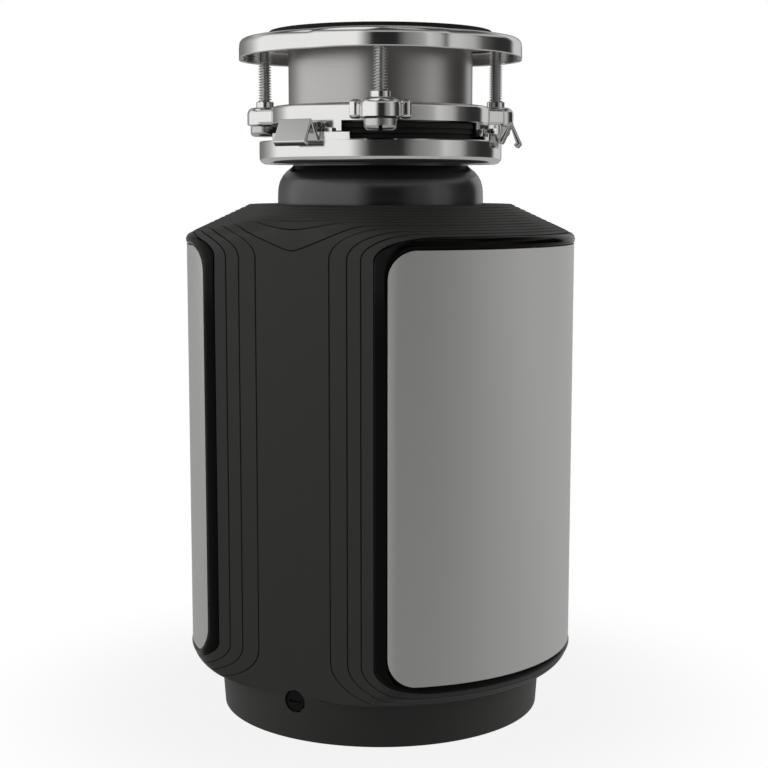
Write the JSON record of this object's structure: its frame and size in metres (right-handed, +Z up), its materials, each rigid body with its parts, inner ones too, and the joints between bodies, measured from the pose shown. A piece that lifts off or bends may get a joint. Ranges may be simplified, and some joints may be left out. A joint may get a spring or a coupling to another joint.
{
  "type": "kitchen garbage disposal",
  "caption": "Under-sink food waste disposer: motor and grinding chamber in a black shell with stainless front and rear panels, on a twist-lock sink mount.",
  "frame": {"origin": "centre of the round foot ring, on the surface that the unit stands on", "axes": "+Z up along the motor and sink axis; -Y out of the front stainless panel; +X out of the flat that carries the outlet and the dishwasher inlet"},
  "size_m": [0.2131, 0.182, 0.316],
  "materials": {
    "shell_black": "satin black moulding",
    "gloss_black": "high gloss black",
    "stainless": "fine satin stainless",
    "container_black": "glass-filled polypropylene, semi-gloss",
    "nickel": "bright nickel-plated casting",
    "zinc": "bright zinc-plated steel",
    "brushed_sleeve": "turned stainless",
    "black_rubber": "soft black rubber",
    "fibre": "black pressed fibre",
    "foam": "open-cell foam",
    "grind_steel": "galvanised grinding steel",
    "cast_alloy": "die-cast aluminium",
    "laminations": "varnished electrical steel",
    "copper": "enamelled copper",
    "bronze": "sintered bronze",
    "shaft_steel": "ground steel",
    "red_plastic": "red button",
    "dark_plastic": "phenolic",
    "green_screw": "green zinc-plated steel",
    "cover_steel": "black-painted sheet steel"
  },
  "bodies": {
    "housing": {"backup_flange": "nickel", "bottom_cover": "cover_steel", "bottom_cover_screws": "zinc", "clamp_band": "zinc", "container_insulation": "foam", "container_seal": "black_rubber", "dishwasher_inlet": "container_black", "fibre_gasket": "fibre", "front_bezel": "gloss_black", "front_panel": "stainless", "grinding_container": "container_black", "ground_screw": "green_screw", "lower_bearing": "bronze", "lower_end_frame": "cast_alloy", "motor_insulation": "foam", "mounting_gasket": "black_rubber", "outer_shell": "shell_black", "outlet_bolts": "zinc", "outlet_flange": "zinc", "outlet_gasket": "black_rubber", "overload_protector": "dark_plastic", "rear_bezel": "gloss_black", "rear_panel": "stainless", "shaft_seal": "black_rubber", "shell_screws": "zinc", "shredder_ring": "grind_steel", "sink_sleeve": "brushed_sleeve", "snap_ring": "shaft_steel", "splash_baffle": "black_rubber", "start_switch": "dark_plastic", "stator_core": "laminations", "stator_winding": "copper", "tailpipe_elbow": "container_black", "terminal_cover": "cover_steel", "terminal_cover_screws": "zinc", "through_bolts": "zinc", "thrust_washer": "bronze", "upper_bearing": "bronze", "upper_end_frame": "cast_alloy", "upper_mounting_ring": "nickel"},
    "rotor": {"motor_shaft": "shaft_steel", "rotor_core": "laminations", "rotor_end_rings": "cast_alloy", "switch_governor": "dark_plastic", "water_slinger": "black_rubber", "turntable": "grind_steel", "turntable_nut": "zinc", "impeller_rivets": "grind_steel"},
    "impeller_1": {"impeller_1": "grind_steel"},
    "impeller_2": {"impeller_2": "grind_steel"},
    "lower_ring": {"lower_mounting_ring": "nickel"},
    "reset_button": {"reset_button": "red_plastic"},
    "screw_1": {"mounting_screw_1": "zinc"},
    "screw_2": {"mounting_screw_2": "zinc"},
    "screw_3": {"mounting_screw_3": "zinc"}
  },
  "joints": [
    {"name": "rotor_spin", "type": "hinge", "parent": "housing", "child": "rotor", "pos_m": [0, 0, 0.1], "axis": [0, 0, 1], "continuous": true},
    {"name": "impeller_1_swivel", "type": "hinge", "parent": "rotor", "child": "impeller_1", "pos_m": [0.038, 0, 0.18], "axis": [0, 0, 1], "continuous": true},
    {"name": "impeller_2_swivel", "type": "hinge", "parent": "rotor", "child": "impeller_2", "pos_m": [-0.038, 0, 0.18], "axis": [0, 0, 1], "continuous": true},
    {"name": "lower_ring_turn", "type": "hinge", "parent": "housing", "child": "lower_ring", "pos_m": [0, 0, 0.26], "axis": [0, 0, 1], "range_deg": [-42, 0]},
    {"name": "reset_button_travel", "type": "slide", "parent": "housing", "child": "reset_button", "axis": [0, 0, -1], "range_m": [0, 0.002]},
    {"name": "screw_1_turn", "type": "hinge", "parent": "housing", "child": "screw_1", "pos_m": [-0.05603, -0.03235, 0.28], "axis": [0, 0, 1], "continuous": true},
    {"name": "screw_2_turn", "type": "hinge", "parent": "housing", "child": "screw_2", "pos_m": [0.05603, -0.03235, 0.28], "axis": [0, 0, 1], "continuous": true},
    {"name": "screw_3_turn", "type": "hinge", "parent": "housing", "child": "screw_3", "pos_m": [0, 0.0647, 0.28], "axis": [0, 0, 1], "continuous": true}
  ]
}
